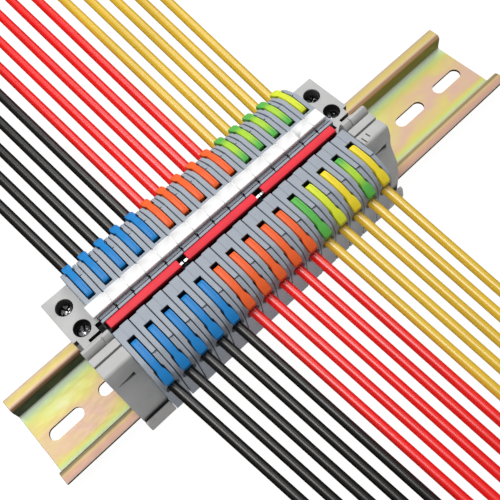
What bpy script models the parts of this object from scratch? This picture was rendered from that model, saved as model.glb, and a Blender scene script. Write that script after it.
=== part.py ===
"""DIN rail terminal block assembly: fifteen lever terminals, bridges, end clamps and wires.

X runs along the rail, -Y is the front, +Y is the back and +Z is up. The origin is the
bottom centre of the rail. Lengths below are in millimetres and become metres in metres().
"""
import math

import bmesh
import bpy
from mathutils import Matrix, Vector

MM = 0.001
GAP = 0.3

# Rail, a 35 x 7.5 top-hat section
RAIL_LENGTH = 200.0
RAIL_WIDTH = 35.0
RAIL_HEIGHT = 7.5
RAIL_SHEET = 1.0
RAIL_CHANNEL = 25.0
RAIL_BEND = 0.8
SLOT_PITCH = 20.0
SLOT_LENGTH = 13.2
SLOT_WIDTH = 4.5

# Row of terminals
MODULES = 15
GROUP = 5
PITCH = 6.2
ROW_START = -61.9
ROW_END = ROW_START + MODULES * PITCH
MODULE_WIDTH = PITCH - GAP
MODULE_TOP = 36.5
MODULE_END = 24.6
MODULE_SHOULDER = 10.0
HOOK_BOTTOM = 4.6

# Bridge groove and marker groove in the top of each terminal
BRIDGE_Y = -1.8
BRIDGE_GROOVE = 4.1
BRIDGE_FLOOR = 31.5
# Ends of the three grips along X; the last leg of the first two shows past the grip's end.
BRIDGE_SPANS = ((-60.9, -34.5), (-31.6, -4.3), (-1.4, 28.8))
COMB_SLIT = 1.6
COMB_SLIT_FLOOR = 27.0
MARKER_Y = 4.7
MARKER_SLIT = 1.6
MARKER_SLIT_FLOOR = 34.0

# Lever: distances from the row's middle plane, outward, and the hinge axis
HINGE_OUT = 12.9
HINGE_Z = 33.5
HUB_RADIUS = 2.0
LEVER_BAR = 2.15
LEVER_WAIST = 1.95
LEVER_TAB = 2.95

# Conductors
FRONT_WIRE_DIAMETER = 3.1
BACK_WIRE_DIAMETER = 3.5
WIRE_MOUTH_OUT = 24.3
WIRE_MOUTH_Z = 27.7
ENTRY_RADIUS = 2.2
ENTRY_TILT = math.radians(3.0)

# End clamps
CLAMP_WIDTH = 9.5
CLAMP_GAP = 0.15
CLAMP_FLAT = 31.6
CLAMP_RIDGE = 37.0
CLAMP_BACK = 20.5
SCREW_Y = (14.9, 5.9)
SCREW_TIP_Z = (7.9, 1.4)
SCREW_HEAD = 4.4
SCREW_SHANK = 2.6
SCREW_HEAD_TOP = 29.4
SCREW_HEAD_LOW = 27.4

GREY = (0.36, 0.40, 0.47)
CLAMP_GREY = (0.46, 0.46, 0.46)
BLUE = (0.027, 0.27, 0.70)
ORANGE = (0.88, 0.15, 0.04)
GREEN = (0.11, 0.51, 0.10)
YELLOW = (0.86, 0.76, 0.04)
LIME = (0.55, 0.74, 0.04)
FRONT_EARTH = (GREEN, LIME, YELLOW, GREEN, YELLOW)
BACK_EARTH = (GREEN, GREEN, GREEN, GREEN, LIME)


def clear_scene():
    for item in list(bpy.data.objects):
        bpy.data.objects.remove(item, do_unlink=True)


def metres(points):
    return [Vector(point) * MM for point in points]


def make_material(name, colour, roughness, metallic=0.0):
    material = bpy.data.materials.new(name)
    material.use_nodes = True
    shader = material.node_tree.nodes["Principled BSDF"]
    shader.inputs["Base Color"].default_value = (*colour, 1.0)
    shader.inputs["Roughness"].default_value = roughness
    shader.inputs["Metallic"].default_value = metallic
    return material


def solid(name, points, faces, material=None):
    """A closed mesh object from points in millimetres, with its faces turned outward."""
    mesh = bpy.data.meshes.new(name)
    mesh.from_pydata(metres(points), [], faces)
    work = bmesh.new()
    work.from_mesh(mesh)
    bmesh.ops.recalc_face_normals(work, faces=work.faces)
    work.to_mesh(mesh)
    work.free()
    item = bpy.data.objects.new(name, mesh)
    bpy.context.collection.objects.link(item)
    if material:
        mesh.materials.append(material)
    return item


def extruded(name, outline, low, high, material=None, along="x"):
    """A prism whose outline is (y, z) pairs along X, or (x, z) pairs along Y."""
    count = len(outline)
    points = []
    for depth in (low, high):
        for first, second in outline:
            points.append((depth, first, second) if along == "x" else (first, depth, second))
    faces = [tuple(range(count)), tuple(range(2 * count - 1, count - 1, -1))]
    for i in range(count):
        j = (i + 1) % count
        faces.append((i, j, count + j, count + i))
    return solid(name, points, faces, material)


def lofted(name, stations, material=None):
    """A bar of rectangular sections, each (outward distance, width, bottom, top)."""
    points = []
    for out, width, bottom, top in stations:
        half = width / 2
        points += [(-half, out, bottom), (half, out, bottom), (half, out, top), (-half, out, top)]
    faces = [(0, 1, 2, 3)]
    for start in range(0, len(points) - 4, 4):
        for i in range(4):
            j = (i + 1) % 4
            faces.append((start + i, start + j, start + 4 + j, start + 4 + i))
    last = len(points) - 4
    faces.append((last + 3, last + 2, last + 1, last))
    return solid(name, points, faces, material)


def turned(name, profile, sides, material=None):
    """A solid of revolution about Z from (radius, z) pairs, both ends capped flat."""
    points = []
    for radius, z in profile:
        for i in range(sides):
            angle = 2 * math.pi * i / sides
            points.append((radius * math.cos(angle), radius * math.sin(angle), z))
    faces = [tuple(range(sides))]
    for ring in range(len(profile) - 1):
        base = ring * sides
        for i in range(sides):
            j = (i + 1) % sides
            faces.append((base + i, base + j, base + sides + j, base + sides + i))
    top = (len(profile) - 1) * sides
    faces.append(tuple(range(top + sides - 1, top - 1, -1)))
    return solid(name, points, faces, material)


def box(name, low, high, material=None):
    outline = [(low[1], low[2]), (high[1], low[2]), (high[1], high[2]), (low[1], high[2])]
    return extruded(name, outline, low[0], high[0], material)


def mirrored(outline):
    """The same (y, z) outline on the other side of the middle plane."""
    return [(-y, z) for y, z in outline]


def combine(target, others, operation):
    """Boolean modifiers on target, one for each of the other objects, which stay hidden."""
    for other in others:
        other.hide_render = True
        other.display_type = "WIRE"
        step = target.modifiers.new(other.name, "BOOLEAN")
        step.operation = operation
        step.solver = "EXACT"
        step.object = other


def cut(target, cutters):
    combine(target, cutters, "DIFFERENCE")


def settled_mesh(item, name):
    """The object's mesh after its modifiers, as a mesh that several objects can share."""
    bpy.context.view_layer.update()
    graph = bpy.context.evaluated_depsgraph_get()
    mesh = bpy.data.meshes.new_from_object(item.evaluated_get(graph), depsgraph=graph)
    mesh.name = name
    cutters = [step.object for step in item.modifiers]
    for old in [item] + cutters:
        bpy.data.objects.remove(old, do_unlink=True)
    return mesh


def placed(name, mesh, place, turn=0.0, material=None):
    item = bpy.data.objects.new(name, mesh)
    item.location = Vector(place) * MM
    item.rotation_euler = (0.0, 0.0, turn)
    bpy.context.collection.objects.link(item)
    if material:
        item.material_slots[0].link = "OBJECT"
        item.material_slots[0].material = material
    return item


def smooth_round_faces(item, angle=30.0):
    item.data.shade_smooth()
    item.data.set_sharp_from_angle(angle=math.radians(angle))


def arc(centre, radius, start, end, steps):
    """Points on an arc in the profile plane, angles in degrees from +Y towards +Z."""
    points = []
    for i in range(steps + 1):
        angle = math.radians(start + (end - start) * i / steps)
        points.append((centre[0] + radius * math.cos(angle), centre[1] + radius * math.sin(angle)))
    return points


def module_middle(index):
    return ROW_START + PITCH * (index + 0.5)


# ---------------------------------------------------------------- rail

def rail_outline():
    """Half of the top-hat section from the middle outward, then its mirror image."""
    inner, outer = RAIL_BEND, RAIL_BEND + RAIL_SHEET
    wall_in = RAIL_CHANNEL / 2
    wall_out = wall_in + RAIL_SHEET
    flange_low = RAIL_HEIGHT - RAIL_SHEET
    tip = RAIL_WIDTH / 2
    half = arc((wall_in - inner, RAIL_SHEET + inner), inner, -90, 0, 2)
    half += arc((wall_out + inner, flange_low - inner), outer, 180, 90, 2)
    half += [(tip, RAIL_HEIGHT), (tip, flange_low)]
    half += arc((wall_out + inner, flange_low - inner), inner, 90, 180, 2)
    half += arc((wall_in - inner, RAIL_SHEET + inner), outer, 0, -90, 2)
    return half + mirrored(half[::-1])


def slot_cutter(index):
    """A round-ended slot through the web."""
    radius = SLOT_WIDTH / 2
    reach = SLOT_LENGTH / 2 - radius
    middle = -RAIL_LENGTH / 2 + SLOT_PITCH * (index + 0.5)
    outline = arc((middle + reach, 0.0), radius, -90, 90, 5)
    outline += arc((middle - reach, 0.0), radius, 90, 270, 5)
    count = len(outline)
    points = [(x, y, -1.0) for x, y in outline] + [(x, y, 2.5) for x, y in outline]
    faces = [tuple(range(count)), tuple(range(2 * count - 1, count - 1, -1))]
    for i in range(count):
        j = (i + 1) % count
        faces.append((i, j, count + j, count + i))
    return solid(f"slot_cutter_{index + 1}", points, faces)


def build_rail(material):
    rail = extruded("din_rail", rail_outline(), -RAIL_LENGTH / 2, RAIL_LENGTH / 2, material)
    slots = int(RAIL_LENGTH / SLOT_PITCH)
    cut(rail, [slot_cutter(i) for i in range(slots)])
    smooth_round_faces(rail)


# ---------------------------------------------------------------- terminal housings

def housing_end():
    """The outline of one end, from the top surface down to the rail foot."""
    flange_tip = RAIL_WIDTH / 2 + 0.4
    seat = RAIL_HEIGHT + GAP
    under = RAIL_HEIGHT - RAIL_SHEET - 0.4
    return [
        (16.8, MODULE_TOP),
        (19.4, 35.5),
        (22.7, 33.6),
        (24.3, 30.2),
        (MODULE_END, 25.0),
        (MODULE_END, MODULE_SHOULDER),
        (20.6, MODULE_SHOULDER - 1.6),
        (20.4, HOOK_BOTTOM),
        (16.4, HOOK_BOTTOM),
        (16.4, under),
        (flange_tip, under),
        (flange_tip, seat),
        (12.2, seat),
        (11.0, seat + 1.7),
    ]


def housing_outline():
    groove_low = BRIDGE_Y - BRIDGE_GROOVE / 2
    groove_high = BRIDGE_Y + BRIDGE_GROOVE / 2
    slit_low = BRIDGE_Y - COMB_SLIT / 2
    slit_high = BRIDGE_Y + COMB_SLIT / 2
    top = [
        (groove_low, MODULE_TOP),
        (groove_low, BRIDGE_FLOOR),
        (slit_low, BRIDGE_FLOOR),
        (slit_low, COMB_SLIT_FLOOR),
        (slit_high, COMB_SLIT_FLOOR),
        (slit_high, BRIDGE_FLOOR),
        (groove_high, BRIDGE_FLOOR),
        (groove_high, MODULE_TOP),
        (MARKER_Y - MARKER_SLIT / 2, MODULE_TOP),
        (MARKER_Y - MARKER_SLIT / 2, MARKER_SLIT_FLOOR),
        (MARKER_Y + MARKER_SLIT / 2, MARKER_SLIT_FLOOR),
        (MARKER_Y + MARKER_SLIT / 2, MODULE_TOP),
    ]
    end = housing_end()
    return top + end + mirrored(end[::-1])


def lever_slot(side):
    """The open channel a lever lies in: deep under the hub, wider round the tab."""
    stations = [
        (8.7, LEVER_BAR + 0.6, 29.3, 39.0),
        (9.6, LEVER_BAR + 0.6, 29.2, 39.0),
        (11.4, LEVER_BAR + 0.6, 29.2, 39.0),
        (13.8, LEVER_BAR + 0.6, 29.2, 39.0),
        (15.2, LEVER_BAR + 0.6, 31.3, 39.0),
        (16.4, LEVER_BAR + 0.6, 33.2, 39.0),
        (20.4, LEVER_BAR + 0.6, 32.2, 39.0),
        (20.8, LEVER_TAB + 0.6, 32.0, 39.0),
        (25.6, LEVER_TAB + 0.6, 29.9, 39.0),
    ]
    cutter = lofted(f"lever_slot_cutter_{side}", stations)
    if side > 0:
        return cutter
    cutter.rotation_euler = (0.0, 0.0, math.pi)
    return cutter


def entry_cutter(side):
    """The round wire entry, sloping a little downward to the outside."""
    cutter = turned(f"entry_cutter_{side}", [(ENTRY_RADIUS, -7.4), (ENTRY_RADIUS, -0.8), (2.4, 1.6)], 14)
    turn = Matrix.Rotation(-side * (math.pi / 2 + ENTRY_TILT), 4, "X")
    place = Matrix.Translation(Vector((0.0, side * WIRE_MOUTH_OUT, WIRE_MOUTH_Z)) * MM)
    cutter.matrix_world = place @ turn
    return cutter


def metal_pocket():
    """The pocket, open to +X, that holds the current bar and the two springs."""
    half = [(18.8, 22.6), (18.8, 30.4), (16.2, 30.4), (15.0, 28.4), (9.2, 28.4)]
    outline = half + mirrored(half[::-1])
    return extruded("metal_pocket_cutter", outline, -MODULE_WIDTH / 2 + 0.95, MODULE_WIDTH / 2 + 1.0)


def build_housings(material):
    half = MODULE_WIDTH / 2
    template = extruded("housing_template", housing_outline(), -half, half, material)
    cutters = [metal_pocket(), lever_slot(1), lever_slot(-1), entry_cutter(1), entry_cutter(-1)]
    cut(template, cutters)
    mesh = settled_mesh(template, "terminal_housing")
    for i in range(MODULES):
        placed(f"terminal_housing_{i + 1:02d}", mesh, (module_middle(i), 0.0, 0.0))


# ---------------------------------------------------------------- levers

def lever_stations():
    """Sections of the closed lever from its inner end, over the hub, to its finger tab."""
    hub = []
    for angle in (-150, -120, -90, -60, -38):
        turn = math.radians(angle)
        hub.append((HINGE_OUT + HUB_RADIUS * math.cos(turn), HINGE_Z + HUB_RADIUS * math.sin(turn)))
    tops = [36.7, 36.75, 36.75, 36.75, 36.7]
    stations = [(9.9, LEVER_BAR, 34.0, 35.4), (10.5, LEVER_BAR, 33.3, 36.5)]
    stations += [(out, LEVER_BAR, low, top) for (out, low), top in zip(hub, tops)]
    stations += [
        (17.4, LEVER_BAR, 33.7, 36.4),
        (19.6, LEVER_BAR, 33.2, 35.7),
        (20.7, LEVER_WAIST, 32.8, 35.2),
        (21.6, LEVER_TAB, 32.4, 34.8),
        (23.6, LEVER_TAB, 31.4, 33.7),
        (24.9, LEVER_TAB - 0.3, 30.8, 32.6),
    ]
    return stations


def build_levers(materials):
    """Front and back levers: each one's origin is on its hinge axis."""
    hinge = Vector((0.0, HINGE_OUT, HINGE_Z)) * MM
    template = lofted("lever_template", lever_stations(), materials[GREEN])
    mesh = template.data
    mesh.transform(Matrix.Translation(-hinge))
    bpy.data.objects.remove(template, do_unlink=True)
    for row, side, turn, earth in (("front", -1, math.pi, FRONT_EARTH), ("back", 1, 0.0, BACK_EARTH)):
        colours = [BLUE] * GROUP + [ORANGE] * GROUP + list(earth)
        for i, colour in enumerate(colours):
            place = (module_middle(i), side * HINGE_OUT, HINGE_Z)
            placed(f"lever_{row}_{i + 1:02d}", mesh, place, turn, materials[colour])


# ---------------------------------------------------------------- bridges and marker strip

def bridge_comb(index, low):
    """The metal comb under a bridge: a spine and one leg for each terminal."""
    spine = 30.6
    high = module_middle(index * GROUP + GROUP - 1) + 0.7
    outline = [(low + 0.5, 33.0), (low + 0.5, spine)]
    for i in range(GROUP):
        middle = module_middle(index * GROUP + i)
        outline += [(middle - 0.7, spine), (middle - 0.7, 27.6), (middle + 0.7, 27.6)]
        if i < GROUP - 1:
            outline.append((middle + 0.7, spine))
    outline.append((high, 33.0))
    return extruded(f"bridge_comb_{index + 1}", outline, BRIDGE_Y - 0.45, BRIDGE_Y + 0.45, along="y")


def build_bridges(material):
    """Each bridge: a coloured grip over a metal comb, as one solid."""
    half = 1.4
    outline = [
        (BRIDGE_Y - half, 32.2),
        (BRIDGE_Y + half, 32.2),
        (BRIDGE_Y + half, 37.1),
        (BRIDGE_Y + half - 0.4, 37.5),
        (BRIDGE_Y - half + 0.4, 37.5),
        (BRIDGE_Y - half, 37.1),
    ]
    for index in range(MODULES // GROUP):
        low, high = BRIDGE_SPANS[index]
        grip = extruded(f"bridge_{index + 1}", outline, low, high, material)
        combine(grip, [bridge_comb(index, low)], "UNION")


def build_marker_strip(material):
    outline = [
        (2.4, 36.8),
        (MARKER_Y - 0.5, 36.8),
        (MARKER_Y - 0.5, 34.4),
        (MARKER_Y + 0.5, 34.4),
        (MARKER_Y + 0.5, 36.8),
        (7.0, 36.8),
        (7.0, 38.1),
        (6.8, 38.3),
        (2.6, 38.3),
        (2.4, 38.1),
    ]
    extruded("marker_strip", outline, ROW_START - 0.8, ROW_END - 1.1, material)


# ---------------------------------------------------------------- end clamps

def clamp_outline():
    """The clamp body: flat back deck, ridged front block, sloping face and rail foot."""
    flange_tip = RAIL_WIDTH / 2 + 0.4
    seat = RAIL_HEIGHT + GAP
    under = RAIL_HEIGHT - RAIL_SHEET - 0.4
    return [
        (CLAMP_BACK, CLAMP_FLAT),
        (-1.6, CLAMP_FLAT),
        (-2.4, 37.6),
        (-3.9, 38.0),
        (-5.3, 36.5),
        (-8.6, CLAMP_RIDGE),
        (-8.9, 36.4),
        (-12.8, CLAMP_RIDGE),
        (-13.6, 36.4),
        (-14.7, 33.3),
        (-15.2, 28.6),
        (-18.4, 22.1),
        (-19.7, 14.7),
        (-19.7, 7.3),
        (-20.3, 7.3),
        (-20.8, 9.8),
        (-22.0, 9.4),
        (-22.6, 6.0),
        (-21.4, 2.6),
        (-16.4, 2.6),
        (-16.4, under),
        (-flange_tip, under),
        (-flange_tip, seat),
        (0.6, seat),
        (1.2, 10.4),
        (CLAMP_BACK, 10.4),
    ]


def screw_bore(side, index, middle):
    """The counterbored hole that takes one clamp screw."""
    head = SCREW_HEAD / 2 + 0.45
    shank = SCREW_SHANK / 2 + 0.35
    profile = [(shank, 6.0), (shank, SCREW_HEAD_LOW - GAP), (head, SCREW_HEAD_LOW - GAP), (head, 40.0)]
    cutter = turned(f"screw_bore_{side}_{index}", profile, 14)
    cutter.location = Vector((middle, SCREW_Y[index], 0.0)) * MM
    return cutter


def clamp_middles():
    """The side and the middle X of each end clamp."""
    reach = CLAMP_GAP + CLAMP_WIDTH / 2
    return (("left", ROW_START - reach), ("right", ROW_END + reach))


def build_clamps(material):
    for side, middle in clamp_middles():
        low = middle - CLAMP_WIDTH / 2
        high = middle + CLAMP_WIDTH / 2
        clamp = extruded(f"end_clamp_{side}", clamp_outline(), low, high, material)
        cutters = [screw_bore(side, i, middle) for i in range(len(SCREW_Y))]
        cutters.append(box(f"deck_slot_{side}", (low + 3.8, 0.6, 29.2), (high - 1.0, 1.7, 33.0)))
        cutters.append(box(f"low_waist_{side}", (low - 1.0, 0.2, 24.0), (low + 1.3, 4.0, 39.0)))
        cutters.append(box(f"high_waist_{side}", (high - 1.6, 0.2, 24.0), (high + 1.0, 4.0, 39.0)))
        cutters.append(box(f"tool_slot_{side}", (low - 1.0, -17.5, 28.2), (low + 6.4, -13.4, 29.3)))
        cut(clamp, cutters)


def build_screws(material):
    """Four clamp screws, two in each end clamp, with crossed driver slots."""
    for side, middle in clamp_middles():
        for i, y in enumerate(SCREW_Y):
            shank = SCREW_SHANK / 2
            head = SCREW_HEAD / 2
            profile = [
                (shank - 0.5, SCREW_TIP_Z[i]),
                (shank, SCREW_TIP_Z[i] + 0.6),
                (shank, SCREW_HEAD_LOW),
                (head, SCREW_HEAD_LOW),
                (head, SCREW_HEAD_TOP - 0.3),
                (head - 0.4, SCREW_HEAD_TOP),
            ]
            screw = turned(f"clamp_screw_{side}_{i + 1}", profile, 10, material)
            screw.location = Vector((middle, y, 0.0)) * MM
            recess_low = SCREW_HEAD_TOP - 1.1
            recess_high = SCREW_HEAD_TOP + 0.6
            slot = box(f"slot_a_{side}_{i}", (-1.5, -0.35, recess_low), (1.5, 0.35, recess_high))
            cross = box(f"slot_b_{side}_{i}", (-0.35, -1.5, recess_low), (0.35, 1.5, recess_high))
            for cutter in (slot, cross):
                cutter.location = screw.location
            cut(screw, [slot, cross])


def build_jaws(material):
    """Two metal jaws that hook under the rail's back flange, one for each end clamp."""
    under = RAIL_HEIGHT - RAIL_SHEET - 0.4
    outline = [
        (2.4, 8.2),
        (17.9, 8.2),
        (17.9, under),
        (15.2, under),
        (15.2, HOOK_BOTTOM),
        (19.6, HOOK_BOTTOM),
        (19.6, 10.0),
        (2.4, 10.0),
    ]
    for side, middle in clamp_middles():
        jaw = extruded(f"clamp_jaw_{side}", outline, middle - 4.0, middle + 4.0, material)
        holes = []
        for i, y in enumerate(SCREW_Y):
            hole = turned(f"jaw_hole_{side}_{i}", [(SCREW_SHANK / 2 + 0.3, 7.9), (SCREW_SHANK / 2 + 0.3, 11.0)], 10)
            hole.location = Vector((middle, y, 0.0)) * MM
            holes.append(hole)
        cut(jaw, holes)


# ---------------------------------------------------------------- conductors

# Distances from the row's middle plane: a wire's inner end, and where the web starts.
WIRE_START = 21.4
WEB_START = 25.4
FRONT_REACH = 117.0
BACK_REACH = 151.0
# Fall of every wire, and sideways drift of the first and of the last, for each millimetre outward.
WIRE_FALL = 0.05
FRONT_FAN = (0.090, -0.036)
BACK_FAN = (-0.044, 0.110)
# Corners of a wire's eight-sided section, in degrees from +X towards +Z.
WIRE_CORNERS = (165, 120, 60, 15, -15, -60, -120, -165)


def wire_ring(index, side, out, diameter, fan):
    """The eight corners of one straight wire's section at one distance outward."""
    drift = fan[0] + (fan[1] - fan[0]) * index / (MODULES - 1)
    middle = module_middle(index) + drift * (out - WIRE_MOUTH_OUT)
    height = WIRE_MOUTH_Z - WIRE_FALL * (out - WIRE_MOUTH_OUT)
    radius = diameter / 2
    ring = []
    for corner in WIRE_CORNERS:
        angle = math.radians(corner)
        ring.append((middle + radius * math.cos(angle), side * out, height + radius * math.sin(angle)))
    return ring


def build_wire_row(name, side, diameter, reach, fan, material):
    """Fifteen wires side by side as one solid, a thin web joining them outside the entries."""
    stations = (WIRE_START, WEB_START, reach)
    corners = len(WIRE_CORNERS)
    points = []
    for out in stations:
        for index in range(MODULES):
            points += wire_ring(index, side, out, diameter, fan)

    def corner(station, index, k):
        return (station * MODULES + index) * corners + k

    faces = []
    for station in range(len(stations) - 1):
        inside_entry = station == 0
        for index in range(MODULES):
            for k in range(corners):
                following = (k + 1) % corners
                web_edge = (k == 3 and index < MODULES - 1) or (k == 7 and index > 0)
                if web_edge and not inside_entry:
                    continue
                faces.append((
                    corner(station, index, k),
                    corner(station, index, following),
                    corner(station + 1, index, following),
                    corner(station + 1, index, k),
                ))
        if inside_entry:
            continue
        for index in range(MODULES - 1):
            for k, opposite in ((3, 0), (7, 4)):
                near = index if k == 3 else index + 1
                far = index + 1 if k == 3 else index
                faces.append((
                    corner(station, near, k),
                    corner(station, far, opposite),
                    corner(station + 1, far, opposite),
                    corner(station + 1, near, k),
                ))
    last = len(stations) - 1
    for index in range(MODULES):
        faces.append(tuple(corner(0, index, k) for k in range(corners)))
        faces.append(tuple(corner(last, index, k) for k in range(corners)))
    for station in (1, last):
        for index in range(MODULES - 1):
            faces.append((
                corner(station, index, 3),
                corner(station, index + 1, 0),
                corner(station, index + 1, 7),
                corner(station, index, 4),
            ))
    return solid(name, points, faces, material)


def main():
    clear_scene()
    plated = make_material("plated_steel", (0.72, 0.62, 0.22), 0.32, 1.0)
    grey = make_material("terminal_grey", GREY, 0.45)
    clamp_grey = make_material("clamp_grey", CLAMP_GREY, 0.5)
    levers = {
        BLUE: make_material("lever_blue", BLUE, 0.35),
        ORANGE: make_material("lever_orange", ORANGE, 0.35),
        GREEN: make_material("lever_green", GREEN, 0.35),
        YELLOW: make_material("lever_yellow", YELLOW, 0.35),
        LIME: make_material("lever_lime", LIME, 0.35),
    }
    red = make_material("bridge_red", (0.80, 0.03, 0.04), 0.35)
    white = make_material("marker_white", (0.88, 0.88, 0.88), 0.4)
    jaw_steel = make_material("jaw_steel", (0.62, 0.63, 0.65), 0.3, 1.0)
    screw_steel = make_material("screw_steel", (0.35, 0.35, 0.37), 0.35, 1.0)
    insulation = make_material("wire_insulation", (0.05, 0.05, 0.05), 0.4)
    build_rail(plated)
    build_housings(grey)
    build_levers(levers)
    build_bridges(red)
    build_marker_strip(white)
    build_clamps(clamp_grey)
    build_screws(screw_steel)
    build_jaws(jaw_steel)
    build_wire_row("wires_front", -1, FRONT_WIRE_DIAMETER, FRONT_REACH, FRONT_FAN, insulation)
    build_wire_row("wires_back", 1, BACK_WIRE_DIAMETER, BACK_REACH, BACK_FAN, insulation)
    bpy.context.view_layer.update()


main()
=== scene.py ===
"""Looks for the DIN rail terminal block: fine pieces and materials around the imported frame."""
import math

import bmesh
import bpy
from mathutils import Euler, Matrix, Vector


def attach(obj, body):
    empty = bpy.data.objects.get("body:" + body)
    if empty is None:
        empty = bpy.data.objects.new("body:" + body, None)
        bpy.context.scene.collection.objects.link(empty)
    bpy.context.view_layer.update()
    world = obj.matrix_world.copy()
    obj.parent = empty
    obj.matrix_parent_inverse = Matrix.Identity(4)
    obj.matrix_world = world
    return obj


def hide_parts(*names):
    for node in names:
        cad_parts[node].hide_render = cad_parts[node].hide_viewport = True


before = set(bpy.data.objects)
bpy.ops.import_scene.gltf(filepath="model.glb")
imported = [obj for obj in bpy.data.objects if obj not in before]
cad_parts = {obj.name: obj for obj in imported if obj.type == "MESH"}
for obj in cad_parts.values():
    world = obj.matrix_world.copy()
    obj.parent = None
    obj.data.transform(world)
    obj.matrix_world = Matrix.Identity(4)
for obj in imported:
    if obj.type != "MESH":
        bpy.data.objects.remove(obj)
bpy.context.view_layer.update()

MM = 0.001
MODULES = 15
GROUP = 5
PITCH = 6.2
ROW_START = -61.9
ROW_END = ROW_START + MODULES * PITCH


def module_middle(index):
    return ROW_START + PITCH * (index + 0.5)


# ---------------------------------------------------------------- camera, floor and light

CAMERA_PLACE = (-65.106, -96.039, 225.216)
CAMERA_TURN = (26.1165, 6.5518, -43.1587)
LENS = 53.01
SENSOR_WIDTH = 36.0


def make_camera():
    data = bpy.data.cameras.new("camera")
    data.lens = LENS
    data.sensor_width = SENSOR_WIDTH
    data.clip_start = 0.01
    data.clip_end = 10.0
    camera = bpy.data.objects.new("camera", data)
    bpy.context.collection.objects.link(camera)
    turn = Euler([math.radians(angle) for angle in CAMERA_TURN]).to_matrix()
    camera.matrix_world = Matrix.Translation(Vector(CAMERA_PLACE) * MM) @ turn.to_4x4()
    bpy.context.scene.camera = camera


# Brightness of the dome overhead: (sine of the height over the horizon, level).
DOME = ((0.0, 0.03), (0.15, 0.05), (0.55, 0.15), (1.0, 0.32))
KEY_PLACE = (-0.18, 0.38, 0.90)
KEY_SIZE = (0.36, 1.0)
KEY_POWER = 8.3
FILL_PLACE = (0.5, 0.5, 0.8)
FILL_SIZE = (0.8, 0.8)
FILL_POWER = 4.4
STUDIO_REACH = 3.0
FLOOR_LEVEL = -0.0003
BACKDROP_FOOT = -0.5
BACKDROP_SIDES = 32
STAGE_GLOW = 0.96


def area_light(name, place, target, size, power):
    """A rectangular lamp that shines straight down, or at a target."""
    data = bpy.data.lights.new(name, "AREA")
    data.shape = "RECTANGLE"
    data.size, data.size_y = size
    data.energy = power
    light = bpy.data.objects.new(name, data)
    bpy.context.collection.objects.link(light)
    light.location = Vector(place)
    if target:
        aim = Vector(target) - Vector(place)
        light.rotation_euler = aim.to_track_quat("-Z", "Y").to_euler()


def stage_piece(name, points, faces):
    """A plain, softly glowing white surface of the studio."""
    mesh = bpy.data.meshes.new(name)
    mesh.from_pydata(points, [], faces)
    made = bpy.data.objects.new(name, mesh)
    bpy.context.collection.objects.link(made)
    material = bpy.data.materials.new(f"{name}_white")
    material.use_nodes = True
    shader = material.node_tree.nodes["Principled BSDF"]
    set_value(shader, "Base Color", (0.10, 0.10, 0.10, 1.0))
    set_value(shader, "Roughness", 0.9)
    set_value(shader, "Emission Color", (1.0, 1.0, 1.0, 1.0))
    set_value(shader, "Emission Strength", STAGE_GLOW)
    material.cycles.emission_sampling = "NONE"
    mesh.materials.append(material)
    return made


def make_dome():
    """A bright dome overhead that darkens towards the horizon."""
    world = bpy.data.worlds.new("studio")
    world.use_nodes = True
    tree = world.node_tree
    place = tree.nodes.new("ShaderNodeTexCoord")
    split = tree.nodes.new("ShaderNodeSeparateXYZ")
    tree.links.new(place.outputs["Generated"], split.inputs["Vector"])
    stops = [(height, (level,) * 3) for height, level in DOME]
    dome = ramp(tree, split.outputs["Z"], stops)
    tree.links.new(dome.outputs["Color"], tree.nodes["Background"].inputs["Color"])
    bpy.context.scene.world = world


def make_floor():
    reach, level = STUDIO_REACH, FLOOR_LEVEL
    corners = [(-reach, -reach), (reach, -reach), (reach, reach), (-reach, reach)]
    floor = stage_piece("floor", [(x, y, level) for x, y in corners], [(0, 1, 2, 3)])
    floor.visible_glossy = False


def make_backdrop():
    """A round white wall that only the camera sees, so low views have a white background."""
    points, faces = [], []
    for height in (BACKDROP_FOOT, STUDIO_REACH):
        for k in range(BACKDROP_SIDES):
            angle = 2 * math.pi * k / BACKDROP_SIDES
            points.append((STUDIO_REACH * math.cos(angle), STUDIO_REACH * math.sin(angle), height))
    for k in range(BACKDROP_SIDES):
        after = (k + 1) % BACKDROP_SIDES
        faces.append((k, after, BACKDROP_SIDES + after, BACKDROP_SIDES + k))
    backdrop = stage_piece("backdrop", points, faces)
    backdrop.visible_diffuse = False
    backdrop.visible_glossy = False
    backdrop.visible_transmission = False
    backdrop.visible_shadow = False


def make_stage():
    make_dome()
    bpy.context.scene.view_settings.view_transform = "Standard"
    area_light("key", KEY_PLACE, None, KEY_SIZE, KEY_POWER)
    area_light("fill", FILL_PLACE, (0.0, 0.0, 0.0), FILL_SIZE, FILL_POWER)
    make_floor()
    make_backdrop()


# ---------------------------------------------------------------- materials

def set_value(shader, socket, value):
    shader.inputs[socket].default_value = value


def node(tree, kind, **values):
    made = tree.nodes.new(kind)
    for key, value in values.items():
        setattr(made, key, value)
    return made


def noise(tree, scale, detail=3.0, roughness=0.5, stretch=None):
    """A noise texture on the object's own coordinates, in cycles for each millimetre."""
    place = node(tree, "ShaderNodeTexCoord")
    texture = node(tree, "ShaderNodeTexNoise")
    texture.inputs["Scale"].default_value = scale / MM
    texture.inputs["Detail"].default_value = detail
    texture.inputs["Roughness"].default_value = roughness
    vector = place.outputs["Object"]
    if stretch:
        mapping = node(tree, "ShaderNodeMapping")
        mapping.inputs["Scale"].default_value = stretch
        tree.links.new(vector, mapping.inputs["Vector"])
        vector = mapping.outputs["Vector"]
    tree.links.new(vector, texture.inputs["Vector"])
    return texture


def ramp(tree, source, stops):
    made = node(tree, "ShaderNodeValToRGB")
    elements = made.color_ramp.elements
    while len(elements) < len(stops):
        elements.new(0.5)
    for element, (place, colour) in zip(elements, stops):
        element.position = place
        element.color = (*colour, 1.0)
    tree.links.new(source, made.inputs["Fac"])
    return made


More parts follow.
